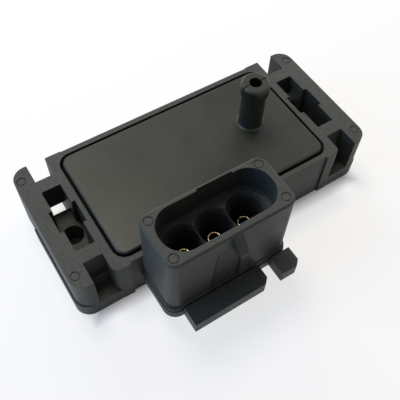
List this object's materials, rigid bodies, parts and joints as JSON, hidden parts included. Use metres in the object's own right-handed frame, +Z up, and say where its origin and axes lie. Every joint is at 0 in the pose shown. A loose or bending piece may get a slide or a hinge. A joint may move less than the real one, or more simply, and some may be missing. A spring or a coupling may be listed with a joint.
{
  "type": "manifold absolute pressure sensor",
  "caption": "Flat black plastic pressure sensor with slotted mounting ears, an upright barbed hose port and an upright oblong electrical connector with round pins.",
  "frame": {"origin": "midway between the two screw holes, on the flat mounting face under the case", "axes": "+X runs from one mounting ear to the other, towards the ear beside the hose port; the connector is on the -Y side; +Z points up, the way the hose port and the connector open"},
  "size_m": [0.08, 0.052, 0.0282],
  "materials": {
    "case_plastic": "fine moulded grain",
    "cover_plastic": "satin moulded",
    "sealant": "cured silicone",
    "terminal_metal": "plated",
    "board_ceramic": "matt",
    "adhesive": "cured",
    "solder": "satin",
    "cell_glass": "clear",
    "silicon": "polished",
    "wire_metal": "drawn",
    "gel": "clear gel",
    "seal_rubber": "moulded",
    "chip_plastic": "moulded",
    "capacitor_ceramic": "fired"
  },
  "bodies": {
    "root": {"housing": "case_plastic", "cover_plate": "cover_plastic", "cover_sealant": "sealant", "terminal_ground": "terminal_metal", "terminal_signal": "terminal_metal", "terminal_supply": "terminal_metal", "circuit_board": "board_ceramic", "board_adhesive": "adhesive", "solder_joints": "solder", "cell_carrier": "board_ceramic", "cell_adhesive": "adhesive", "glass_pedestal": "cell_glass", "sensing_die": "silicon", "bond_wires": "wire_metal", "silicone_gel": "gel", "sealing_ring": "seal_rubber", "amplifier_chip": "chip_plastic", "filter_capacitors": "capacitor_ceramic", "trim_resistors": "chip_plastic", "protection_diode": "chip_plastic"}
  },
  "joints": []
}
